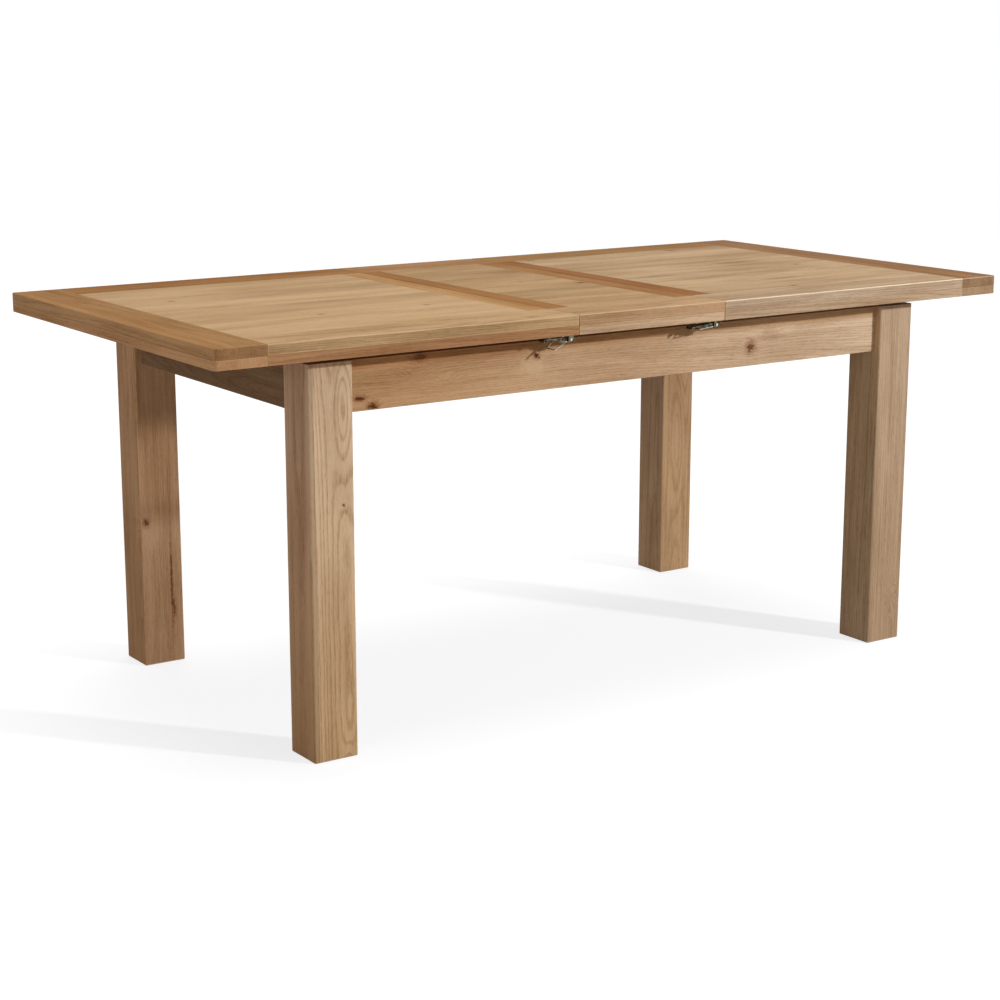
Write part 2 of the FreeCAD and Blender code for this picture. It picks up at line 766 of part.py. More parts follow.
def lever_channel(strip_level):
    """The part of the lever that carries its pivots: a strip with two tapering cheeks bent down."""
    strip_top = strip_level + size.catch_sheet
    body = doc.addObject("PartDesign::Body", "lever_channel_blank")
    outline = sketch_on(body, "XZ_Plane", -size.lever_width / 2)
    draw_polygon(outline, [
        (size.cheek_heel, strip_top), (-size.cheek_length, strip_top), (-size.cheek_length, strip_level),
        (-size.cheek_knee, -size.cheek_depth), (size.cheek_heel, -size.cheek_heel_depth)])
    pad(body, outline, size.lever_width)
    round_edges(body, edges_in(body.Tip.Shape, ["-z"]), size.cheek_rounding)
    round_edges(body, edges_in(body.Tip.Shape, ["+x"], ["+z", "-y", "+y"]), size.cheek_rounding)
    inner = size.lever_width / 2 - size.catch_sheet
    space = box("lever_channel_space", (-size.cheek_length, -inner, -size.cheek_depth),
                (size.cheek_length + size.cheek_heel, 2 * inner, size.cheek_depth + strip_level))
    return cut("lever_channel", body, space)


def lever_shapes():
    """The lever about its pivot, lying closed along -X, and its bores. Its far end is rolled into a curl."""
    strip_level = size.pivot_drop - size.lever_drop - size.catch_sheet
    curl_level = strip_level + size.catch_sheet - size.curl_radius
    through = 2 * size.barrel_length
    solid = [
        lever_channel(strip_level),
        box("lever_strip", (-size.lever_reach, -size.lever_width / 2, strip_level),
            (size.lever_reach, size.lever_width, size.catch_sheet)),
        cross_cylinder("lever_pivot_barrel", 0, 0, size.pivot_barrel_radius, size.barrel_length),
        cross_cylinder("lever_bail_barrel", -size.bail_offset, 0, size.bail_barrel_radius,
                       size.barrel_length),
        cross_cylinder("lever_curl", -size.lever_reach, curl_level, size.curl_radius, size.lever_width)]
    bores = [cross_cylinder("lever_bore", x, z, radius, through) for x, z, radius in (
        (0, 0, size.pin_radius + size.hinge_clearance),
        (-size.bail_offset, 0, size.bail_wire_radius + size.hinge_clearance),
        (-size.lever_reach, curl_level, size.curl_radius - size.catch_sheet))]
    return fuse("lever_solid", solid), fuse("lever_bores", bores)


def keeper_shapes():
    """The hook plate and its screw holes. The hook opens away from the seam."""
    plate = board("keeper_sheet", (size.keeper_setback, -size.keeper_width / 2, -size.catch_sheet),
                  (size.keeper_length, size.keeper_width, size.catch_sheet),
                  "+x -y +y", "", size.catch_corner_radius)
    wall = box("keeper_wall", (size.keeper_setback, -size.hook_width / 2, -size.hook_drop),
               (size.catch_sheet, size.hook_width, size.hook_drop))
    lip = box("keeper_lip", (size.keeper_setback, -size.hook_width / 2, -size.hook_drop),
              (size.catch_sheet + size.hook_reach, size.hook_width, size.catch_sheet))
    holes = punched_holes("keeper_hole", [
        (size.keeper_screw_setback, side_line(way, size.keeper_screw_offset)) for way in (-1, 1)])
    return fuse("keeper_solid", [plate, wall, lip]), fuse("keeper_voids", holes)


def rounded_path(points, radius):
    """Straight runs through the points, joined by tangent arcs of one radius."""
    edges = []
    start = points[0]
    for before, corner, after in zip(points, points[1:], points[2:]):
        way_in = (corner - before).normalize()
        way_out = (after - corner).normalize()
        half_turn = way_in.getAngle(way_out) / 2
        arc_start = corner - way_in * (radius * math.tan(half_turn))
        arc_end = corner + way_out * (radius * math.tan(half_turn))
        inward = (way_out - way_in).normalize()
        middle = corner + inward * (radius / math.cos(half_turn) - radius)
        edges.append(Part.LineSegment(start, arc_start).toShape())
        edges.append(Part.Arc(arc_start, middle, arc_end).toShape())
        start = arc_end
    edges.append(Part.LineSegment(start, points[-1]).toShape())
    return Part.Wire(edges)


def bail_shape():
    """The wire bail about its pivot, lying along -X. Its ends face each other inside the lever's barrel."""
    end = size.bail_end_gap.number / 2
    root = size.bail_pivot_width.number / 2
    tip = size.bail_tip_width.number / 2
    reach = size.bail_reach.number
    points = [Vector(0, -end, 0), Vector(0, -root, 0), Vector(-reach, -tip, 0),
              Vector(-reach, tip, 0), Vector(0, root, 0), Vector(0, end, 0)]
    path = rounded_path(points, size.bail_bend.number)
    rim = Part.Wire(Part.makeCircle(size.bail_wire_radius.number, points[0], Vector(0, 1, 0)))
    return path.makePipeShell([rim], True, False)


def hung(angle):
    """Turns a part that lies along -X down by an angle in degrees."""
    return Rotation(Vector(0, -1, 0), angle.number)


def trig(function, angle):
    """The sine or cosine of an angle in degrees, as a formula."""
    value = getattr(math, function)(math.radians(angle.number))
    return Formula(f"{function}({angle.text} * 1 deg)", value)


def catches():
    """Plates, rivets, levers and wire bails.

    The front left bail hangs open, the front lever on the leaf hangs a little, and the rest lies folded back.
    """
    plate_solid, plate_voids = catch_plate_shapes()
    pin_parts = pin_shapes()
    lever_solid, lever_bores = lever_shapes()
    for owner, seam in (("left", -SEAM), ("leaf", HALF_LEAF)):
        fixed = []
        for side, side_way in SIDES.items():
            name = f"{owner}_{side}"
            y = side_line(side_way, CATCH_LINE)
            pivot = (seam - size.pivot_setback, y, UNDERSIDE - size.pivot_drop)
            fixed.append(place(cut(f"{name}_catch_plate", plate_solid, plate_voids), (seam, y, UNDERSIDE)))
            fixed.append(place(fuse(f"{name}_catch_pin", pin_parts), pivot))
            lever_angle = size.lever_hang_angle if name == "leaf_front" else formula(0)
            bail_angle = size.bail_hang_angle if name == "left_front" else size.bail_folded_angle
            label = f"{name}_catch_lever"
            node(place(cut(label, lever_solid, lever_bores), pivot, hung(lever_angle)), label)
            bail = doc.addObject("Part::Feature", f"{name}_catch_bail")
            bail.Shape = bail_shape()
            bail_pivot = (pivot[0] - size.bail_offset * trig("cos", lever_angle), y,
                          pivot[2] - size.bail_offset * trig("sin", lever_angle))
            node(place(bail, bail_pivot, hung(lever_angle + bail_angle)), bail.Name)
        group(f"{owner}_catch_plates", fixed)


def keepers():
    """Hook plates that the bails would catch, on the far side of each seam."""
    solid, voids = keeper_shapes()
    for owner, seam in (("leaf", -HALF_LEAF), ("right", SEAM)):
        group(f"{owner}_keepers", [
            place(cut(f"{owner}_{side}_keeper", solid, voids),
                  (seam, side_line(way, CATCH_LINE), UNDERSIDE))
            for side, way in SIDES.items()])


# ---------------------------------------------------------------- the whole table

for corner_name, corner_ways in CORNERS.items():
    leg(f"leg_{corner_name}", *corner_ways)
aprons()
group("corner_blocks", [corner_block(f"corner_block_{corner_name}", *corner_ways)
                        for corner_name, corner_ways in CORNERS.items()])
leg_fixings()
bearers()
guides()

for end_name, end_side in ENDS.items():
    top_half(end_name, end_side)
    runners(end_name, end_side)
leaf_boards()
catches()
keepers()
all_screws()

doc.recompute()
for item in doc.Objects:
    assert not {"Invalid", "Error"} & set(item.State), f"{item.Label} failed: {item.State}"
os.makedirs("parts", exist_ok=True)
for item in nodes:
    assert not item.Shape.isNull() and item.Shape.isValid(), f"{item.Label} has no valid shape"
    item.Shape.exportStep(f"parts/{item.Label}.step")
print(f"{len(nodes)} nodes")
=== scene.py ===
"""Looks of the extending oak table: procedural oak, steel catches, a studio floor, lamps and a camera."""
import math
from collections import namedtuple

import bpy
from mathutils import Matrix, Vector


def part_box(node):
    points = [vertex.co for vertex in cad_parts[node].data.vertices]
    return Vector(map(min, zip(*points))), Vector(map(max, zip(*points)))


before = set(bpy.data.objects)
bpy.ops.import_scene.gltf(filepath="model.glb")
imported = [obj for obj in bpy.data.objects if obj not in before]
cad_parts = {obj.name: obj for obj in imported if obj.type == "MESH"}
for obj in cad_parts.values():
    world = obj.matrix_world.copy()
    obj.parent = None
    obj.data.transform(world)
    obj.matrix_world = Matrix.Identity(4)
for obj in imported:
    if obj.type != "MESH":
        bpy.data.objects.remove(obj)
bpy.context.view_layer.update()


# ---------------------------------------------------------------- shader graphs

# The sockets of a Mix node that blends colours.
MIX_FACTOR, MIX_A, MIX_B, MIX_RESULT = 0, 6, 7, 2
WHITE = (1.0, 1.0, 1.0, 1.0)

# A noise: its features' lengths in metres, their detail, and the levels between which patches of it set in.
Layer = namedtuple("Layer", "lengths detail edge", defaults=(None,))


class Field:
    """One output of a shader node. Arithmetic on it adds Math nodes to the same tree."""

    def __init__(self, graph, socket):
        self.graph = graph
        self.socket = socket

    def __add__(self, other):
        return self.graph.math("ADD", self, other)

    def __radd__(self, other):
        return self.graph.math("ADD", other, self)

    def __sub__(self, other):
        return self.graph.math("SUBTRACT", self, other)

    def __rsub__(self, other):
        return self.graph.math("SUBTRACT", other, self)

    def __mul__(self, other):
        return self.graph.math("MULTIPLY", self, other)

    def __rmul__(self, other):
        return self.graph.math("MULTIPLY", other, self)

    def __truediv__(self, other):
        return self.graph.math("DIVIDE", self, other)

    def __rtruediv__(self, other):
        return self.graph.math("DIVIDE", other, self)


class Graph:
    """Adds nodes to one shader tree."""

    def __init__(self, tree):
        self.tree = tree

    def feed(self, socket, value):
        """Links a field to a socket, or sets the socket's own value."""
        if isinstance(value, Field):
            self.tree.links.new(value.socket, socket)
        else:
            socket.default_value = value

    def node(self, kind, inputs, **settings):
        """A node with its settings, and its inputs given by name or number."""
        node = self.tree.nodes.new(kind)
        for name, setting in settings.items():
            setattr(node, name, setting)
        for key, value in inputs.items():
            self.feed(node.inputs[key], value)
        return node

    def result(self, kind, inputs):
        """The first output of a new node."""
        return Field(self, self.node(kind, inputs).outputs[0])

    def coordinates(self, kind):
        """Object is the place in the table's own coordinates, and Normal the surface's direction."""
        return Field(self, self.tree.nodes.new("ShaderNodeTexCoord").outputs[kind])

    def math(self, operation, *values):
        node = self.node("ShaderNodeMath", dict(enumerate(values)), operation=operation)
        return Field(self, node.outputs[0])

    def smallest(self, first, second):
        return self.math("MINIMUM", first, second)

    def largest(self, first, second):
        return self.math("MAXIMUM", first, second)

    def step(self, value, low, high):
        """0 below low, 1 above high, and a smooth rise between them."""
        inputs = {"Value": value, "From Min": low, "From Max": high}
        node = self.node("ShaderNodeMapRange", inputs, interpolation_type="SMOOTHSTEP")
        return Field(self, node.outputs["Result"])

    def vector(self, operation, *values):
        node = self.node("ShaderNodeVectorMath", dict(enumerate(values)), operation=operation)
        return Field(self, node.outputs["Value" if operation == "LENGTH" else "Vector"])

    def combine(self, x, y, z):
        return self.result("ShaderNodeCombineXYZ", {0: x, 1: y, 2: z})

    def split(self, vector):
        node = self.node("ShaderNodeSeparateXYZ", {0: vector})
        return [Field(self, socket) for socket in node.outputs]

    def noise(self, point, layer, output=0):
        """A noise field of 0 to 1, its features as long in each direction as the layer says."""
        stretched = self.vector("MULTIPLY", point, [1 / length for length in layer.lengths])
        node = self.node("ShaderNodeTexNoise", {"Vector": stretched, "Scale": 1.0, "Detail": layer.detail})
        return Field(self, node.outputs[output])

    def patches(self, point, layer):
        """A mask of the places where the layer's noise is high."""
        return self.step(self.noise(point, layer), *layer.edge)

    def drift(self, point, layer, reach):
        """A vector that wanders over the surface, by up to about reach each way."""
        centred = self.vector("SUBTRACT", self.noise(point, layer, 1), (0.5, 0.5, 0.5))
        return self.vector("MULTIPLY", centred, (2 * reach, 2 * reach, 2 * reach))

    def blend(self, factor, first, second, mode="MIX"):
        node = self.node("ShaderNodeMix", {}, data_type="RGBA", blend_type=mode, clamp_factor=True)
        self.feed(node.inputs[MIX_FACTOR], factor)
        self.feed(node.inputs[MIX_A], first)
        self.feed(node.inputs[MIX_B], second)
        return Field(self, node.outputs[MIX_RESULT])

    def tinted(self, colour, tint):
        return self.blend(1.0, colour, tint, "MULTIPLY")

    def relief(self, height, strength, distance):
        """The surface direction after bumps of this height, distance metres deep at full strength."""
        return self.result("ShaderNodeBump", {"Strength": strength, "Distance": distance, "Height": height})

    def use(self, tree, **inputs):
        """The outputs of a node group, by name."""
        node = self.tree.nodes.new("ShaderNodeGroup")
        node.node_tree = tree
        for name, value in inputs.items():
            self.feed(node.inputs[name], value)
        return {socket.name: Field(self, socket) for socket in node.outputs}


def new_group(name, inputs, outputs):
    """An empty node group: its tree, its graph, its incoming fields, and a function that sends fields out."""
    tree = bpy.data.node_groups.new(name, "ShaderNodeTree")
    for label, kind in inputs.items():
        tree.interface.new_socket(name=label, in_out="INPUT", socket_type=f"NodeSocket{kind}")
    for label, kind in outputs.items():
        tree.interface.new_socket(name=label, in_out="OUTPUT", socket_type=f"NodeSocket{kind}")
    graph = Graph(tree)
    entry = tree.nodes.new("NodeGroupInput")
    leave = tree.nodes.new("NodeGroupOutput")
    fields = {label: Field(graph, entry.outputs[label]) for label in inputs}

    def send(**values):
        for label, value in values.items():
            graph.feed(leave.inputs[label], value)

    return tree, graph, fields, send


def new_material(kind, node):
    """A material of its own in every slot of a CAD node: its graph, and its shader's sockets by name."""
    material = bpy.data.materials.new(f"{kind}_{node}")
    material.use_nodes = True
    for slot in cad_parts[node].material_slots:
        slot.material = material
    return Graph(material.node_tree), material.node_tree.nodes["Principled BSDF"].inputs


def on_screen(red, green, blue):
    """A colour given as 0 to 255 on screen, in the linear values that shaders take."""
    def linear(level):
        share = level / 255
        return share / 12.92 if share <= 0.04045 else ((share + 0.055) / 1.055) ** 2.4

    return (linear(red), linear(green), linear(blue), 1.0)


def scaled(colour, red, green, blue):
    return (colour[0] * red, colour[1] * green, colour[2] * blue, 1.0)


# ---------------------------------------------------------------- oak as a solid

# The wood's features: along the grain, across it, and through the board.
BREAKS = Layer((0.035, 0.0026, 0.0026), 2.0, (0.34, 0.66))
PORES = Layer((0.009, 0.0006, 0.0006), 1.0, (0.56, 0.68))
DASHES = Layer((0.018, 0.0013, 0.0013), 2.0, (0.48, 0.72))
FIBRES = Layer((0.09, 0.0018, 0.0018), 2.0)
STREAKS = Layer((0.24, 0.010, 0.010), 3.0)
CLOUDS = Layer((0.3, 0.06, 0.06), 2.0)

# What bends the rings, and by how many metres: the trunk's wander, waves and ripples.
BENDS = ((Layer((0.9, 0.5, 0.5), 1.0), 0.016),
         (Layer((0.2, 0.035, 0.035), 2.0), 0.0028),
         (Layer((0.04, 0.004, 0.004), 3.0), 0.0006))
# What makes the rings unequally wide, counted in rings, and by how many of them it shifts a ring.
UNEVEN_RINGS = Layer((2.5, 1.0, 1.0), 1.0)
UNEVENNESS = 3.0
# How a board's seed moves it to a place of its own in the noises.
SEED_STEP = (3.1, 1.7, 2.3)

# Early wood, open and dark, ends at the first share of a ring's width and sets in again at the second.
EARLY_END, EARLY_START = 0.42, 0.84
BROKEN_LEAST, BROKEN_MORE = 0.45, 0.7
LATE_PORES = 0.25

# How far each feature takes the wood from its palest colour, 0, to its darkest, 1.
BASE_SHADE, RING_SHADE, DASH_SHADE, STREAK_SHADE, CLOUD_SHADE = 0.16, 0.35, 0.26, 0.9, 1.5
RING_STAIN = 0.45
RING_TINT = (1.04, 0.92, 0.76, 1.0)
PORE_BROWN = on_screen(104, 66, 36)

ROUGHNESS = 0.64
PORE_ROUGHNESS, CLOUD_ROUGHNESS, EARLY_ROUGHNESS, END_ROUGHNESS = 0.25, 0.14, -0.04, 0.15
RING_GROOVE, DASH_GROOVE = 0.25, 0.15


def oak_group():
    """Oak as a solid: rings about the tree's heart, open pores along them, streaks and clouds of colour."""
    tree, graph, field, send = new_group(
        "oak",
        {"Point": "Vector", "Pith": "Vector", "Seed": "Float", "Rings": "Float", "Swell": "Float",
         "Pale": "Color", "Dark": "Color", "Figure": "Float", "Streaky": "Float", "Pores": "Float",
         "End": "Float", "EndTint": "Color"},
        {"Color": "Color", "Roughness": "Float", "Height": "Float"})
    seed = field["Seed"]
    point = graph.vector("ADD", field["Point"], graph.combine(*(seed * step for step in SEED_STEP)))

    place = graph.vector("ADD", field["Point"], field["Pith"])
    for layer, reach in BENDS:
        place = graph.vector("ADD", place, graph.drift(point, layer, reach))
    _, across, through = graph.split(place)
    radius = graph.vector("LENGTH", graph.combine(0.0, across, through)) + field["Swell"]
    count = radius / field["Rings"]
    count = count + graph.noise(graph.combine(count, seed, 0.0), UNEVEN_RINGS) * UNEVENNESS
    within = graph.math("FRACT", count)
    early = graph.largest(1.0 - graph.step(within, 0.0, EARLY_END), graph.step(within, EARLY_START, 1.0))

    broken = early * (BROKEN_LEAST + BROKEN_MORE * graph.patches(point, BREAKS))
    pores = graph.patches(point, PORES) * (LATE_PORES + (1.0 - LATE_PORES) * early)
    dashes = graph.patches(point, DASHES)
    fibres = graph.noise(point, FIBRES) - 0.5
    streaks = graph.noise(point, STREAKS) - 0.5
    clouds = graph.noise(point, CLOUDS) - 0.5
    streaky = (fibres + streaks) * STREAK_SHADE * field["Streaky"]
    rings = field["Figure"] * broken

    shade = rings * RING_SHADE + dashes * DASH_SHADE + streaky + clouds * CLOUD_SHADE + BASE_SHADE
    colour = graph.blend(shade, field["Pale"], field["Dark"])
    colour = graph.blend(rings * RING_STAIN, colour, graph.tinted(field["Dark"], RING_TINT))
    colour = graph.blend(pores * field["Pores"], colour, PORE_BROWN)
    colour = graph.blend(field["End"], colour, graph.tinted(colour, field["EndTint"]))
    send(Color=colour,
         Roughness=(ROUGHNESS + pores * PORE_ROUGHNESS + clouds * CLOUD_ROUGHNESS
                    + early * EARLY_ROUGHNESS + field["End"] * END_ROUGHNESS),
         Height=1.0 - pores - broken * RING_GROOVE - dashes * DASH_GROOVE)
    return tree


KNOT_WOBBLE = Layer((0.007, 0.004, 0.004), 4.0)
# These are in radii of the knot: the wobble's depth, and where the heart and the halo fade out.
WOBBLE_DEPTH = 3.0
HEART_EDGE = (0.5, 1.0)
HALO_EDGE = (0.7, 2.4)


def knot_group():
    """A knot or a bump: the rings swell round it, and its heart and halo are masks for colour."""
    tree, graph, field, send = new_group(
        "knot",
        {"Point": "Vector", "Centre": "Vector", "Radius": "Float", "Stretch": "Float", "Lift": "Float",
         "Spread": "Float"},
        {"Swell": "Float", "Heart": "Float", "Halo": "Float"})
    radius = field["Radius"]
    along, across, _ = graph.split(graph.vector("SUBTRACT", field["Point"], field["Centre"]))
    distance = graph.vector("LENGTH", graph.combine(along / field["Stretch"], across, 0.0))
    ragged = distance + (graph.noise(field["Point"], KNOT_WOBBLE) - 0.5) * radius * WOBBLE_DEPTH
    reach = distance / field["Spread"]
    falling = 1.0 / (1.0 + reach * reach)
    send(Swell=field["Lift"] * falling * falling,
         Heart=1.0 - graph.step(ragged, *(radius * edge for edge in HEART_EDGE)),
         Halo=1.0 - graph.step(ragged, *(radius * edge for edge in HALO_EDGE)))
    return tree


WEAR_AND_HIGHLIGHT_PATCHES = Layer((0.02, 0.02, 0.02), 2.0)
# In metres from the board's edge.
WEAR_AND_HIGHLIGHT_WANDER = 0.004
LINE_EDGE = (0.0002, 0.0007)
WEAR_AND_HIGHLIGHT_EDGE = (0.0005, 0.0035)


def border_group():
    """Masks of a board's edges: a thin line for joints, and a wider, uneven band of pale edges, partly worn
    and partly a painted highlight.
    """
    tree, graph, field, send = new_group(
        "border", {"Position": "Vector", "Low": "Vector", "High": "Vector"},
        {"Line": "Float", "Wear": "Float"})
    to_low = graph.vector("SUBTRACT", field["Position"], field["Low"])
    to_high = graph.vector("SUBTRACT", field["High"], field["Position"])
    x, y, z = graph.split(graph.vector("MINIMUM", to_low, to_high))
    edge = graph.largest(graph.smallest(x, y), graph.smallest(graph.largest(x, y), z))
    rough_edge = edge + (graph.noise(field["Position"], WEAR_AND_HIGHLIGHT_PATCHES) - 0.5) * WEAR_AND_HIGHLIGHT_WANDER
    send(Line=1.0 - graph.step(edge, *LINE_EDGE), Wear=1.0 - graph.step(rough_edge, *WEAR_AND_HIGHLIGHT_EDGE))
    return tree


OAK, KNOT, BORDER = oak_group(), knot_group(), border_group()


# ---------------------------------------------------------------- a board of oak

Knot = namedtuple("Knot", "along across radius stretch lift spread heart halo glow", defaults=(0.0,))
Stave = namedtuple("Stave", "edge tone")

KNOT_SPREAD = 2.4
BUMP_RADIUS = 0.001
GLEAM_LIFT = 0.004


def knot(along, across, radius, stretch=1.6, lift=0.011, heart=1.0, halo=0.5):
    """A real knot: along and across say where its middle is, in the table's own coordinates."""
    return Knot(along, across, radius, stretch, lift, radius * KNOT_SPREAD, heart, halo)


def bump(along, across, spread, stretch, lift):
    """A swelling with no knot in it, which draws nested ovals and arches."""
    return Knot(along, across, BUMP_RADIUS, stretch, lift, spread, 0.0, 0.0)


def gleam(along, across, radius, stretch, glow):
    """A painted highlight: a pale patch where curly grain catches the light."""
    return Knot(along, across, radius, stretch, GLEAM_LIFT, radius, 0.0, 0.0, glow)


# How far the palest and darkest wood of a board lie from its tone. Dark wood is the more golden.
PALE_RISE = (0.24, 0.28, 0.36)
DARK_DROP = (0.36, 0.46, 0.58)
END_GRAIN = (0.79, 0.74, 0.69)

SEED_STRIDE = 1.37
FOLD_SEED = 5.0
FOLD_WIDTH = 0.0001

# Staves take their tone, their seed and the depth of their heart from a ramp. A tone of 0.5 changes nothing.
STAVE_TONE = 2.0
STAVE_SEEDS = 20.0
STAVE_SHIFT_STEP, STAVE_DEPTH_STEP, STAVE_DEPTH_START = 0.37, 0.61, 0.3
SCATTER = (0.5, 0.12)

END_FACE_EDGE = (0.6, 0.85)
SIDE_FACE_EDGE = (0.5, 0.85)
# The depth of the strip along an upper edge on which shade is painted, in metres.
SHADOW_BAND_DEPTH = 0.026

KNOT_GRAIN = Layer((0.002, 0.0012, 0.0012), 3.0, (0.35, 0.6))
KNOT_BROWN = on_screen(104, 60, 36)
KNOT_BLACK = on_screen(40, 22, 15)
HALO_BROWN = on_screen(138, 88, 52)
KNOT_HOLLOW = 1.5

WORN_AND_HIGHLIGHT_PALE = (1.35, 1.35, 1.35)
LINE_STRENGTH = 0.55
LINE_GROOVE = 2.0
# A pale highlight painted on the rounded upper arris, as light catches it, and the distances from the top
# over which it thins out, in metres.
ARRIS_HIGHLIGHT = on_screen(244, 222, 192)
ARRIS_HIGHLIGHT_EDGE = (0.0012, 0.0022)

OAK_RELIEF = (0.35, 0.0004)
OAK_SHEEN = 0.03

seeds = iter(range(1, 1000))


class Board:
    """Where a CAD node's surface lies and faces: along the grain, across it, and through the board.

    low, high, position and parts are in the table's own coordinates.
    """

    def __init__(self, graph, node, axes):
        self.low, self.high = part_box(node)
        order = ["xyz".index(axis) for axis in axes]
        self.middle = [(self.low[axis] + self.high[axis]) / 2 for axis in order]
        self.length, self.width, _ = (self.high[axis] - self.low[axis] for axis in order)
        self.position = graph.coordinates("Object")
        self.parts = graph.split(self.position)
        self.along, self.across, self.through = (
            self.parts[axis] - centre for axis, centre in zip(order, self.middle))
        normal = graph.split(graph.coordinates("Normal"))
        self.facing = [graph.math("ABSOLUTE", normal[axis]) for axis in order]


def stave_fields(graph, across, width, staves):
    """Tone, shift and depth of each glued stave: they step at the staves' edges, given from the middle."""
    ramp = graph.node("ShaderNodeValToRGB", {0: across / width + 0.5})
    ramp.color_ramp.interpolation = "CONSTANT"
    elements = ramp.color_ramp.elements
    for index, stave in enumerate(staves):
        position = max(stave.edge / width + 0.5, 0.0)
        element = elements[index] if index < len(elements) else elements.new(position)
        element.position = position
        shift = (index * STAVE_SHIFT_STEP) % 1.0
        depth = (index * STAVE_DEPTH_STEP + STAVE_DEPTH_START) % 1.0
        element.color = (stave.tone, shift, depth, 1.0)
    return graph.split(Field(graph, ramp.outputs[0]))


def knot_fields(graph, point, middle, knots):
    """The swelling of the rings round a board's knots, and the masks of their hearts, halos and gleams."""
    swell, masks = 0.0, {}
    for one in knots:
        centre = (one.along - middle[0], one.across - middle[1], 0.0)
        found = graph.use(KNOT, Point=point, Centre=centre, Radius=one.radius, Stretch=one.stretch,
                          Lift=one.lift, Spread=one.spread)
        swell = found["Swell"] + swell
        for label, output, amount in (("heart", "Heart", one.heart), ("halo", "Halo", one.halo),
                                      ("glow", "Halo", one.glow)):
            if amount:
                mask = found[output] * amount
                masks[label] = graph.largest(masks[label], mask) if label in masks else mask
    return swell, masks


def board_tints(graph, board, fade, side, painted_side_shade, painted_shadow_band):
    """The colours that multiply a board's own, as oak() describes them."""
    share = graph.step(board.along / board.length, -0.5, 0.5)
    side_face = graph.step(board.facing[1], *SIDE_FACE_EDGE)

    def graded(ends):
        return graph.blend(share, (*ends[0], 1.0), (*ends[1], 1.0))

    tints = []
    # The ends' tints: partly the wood's own tone along the board, partly painted light and shade.
    if fade:
        tints.append(graded(fade))
    # The tint of the faces that look across the grain: partly their own tone, partly painted light and shade.
    if side:
        tints.append(graph.blend(side_face, WHITE, (*side, 1.0)))
    # Painted shade: those faces made lighter at one end and darker at the other, as light falls on them.
    if painted_side_shade:
        tints.append(graph.blend(side_face, WHITE, graded(painted_side_shade)))
    # Painted shade: a strip along the upper edge made darker and browner, as the top's shadow falls there.
    if painted_shadow_band:
        top = board.high[2]
        in_shadow_band = graph.step(board.parts[2], top - SHADOW_BAND_DEPTH, top - SHADOW_BAND_DEPTH / 2)
        tints.append(graph.blend(in_shadow_band, WHITE, graded(painted_shadow_band)))
    return tints


def arris_highlight_mask(graph, board):
    """A mask of the rounded arrises along a board's top, on which a highlight is painted."""
    _, y, z = board.parts
    to_side = graph.smallest(y - board.low[1], board.high[1] - y)
    off_arris = graph.largest(board.high[2] - z, to_side)
    return 1.0 - graph.step(off_arris, *ARRIS_HIGHLIGHT_EDGE)


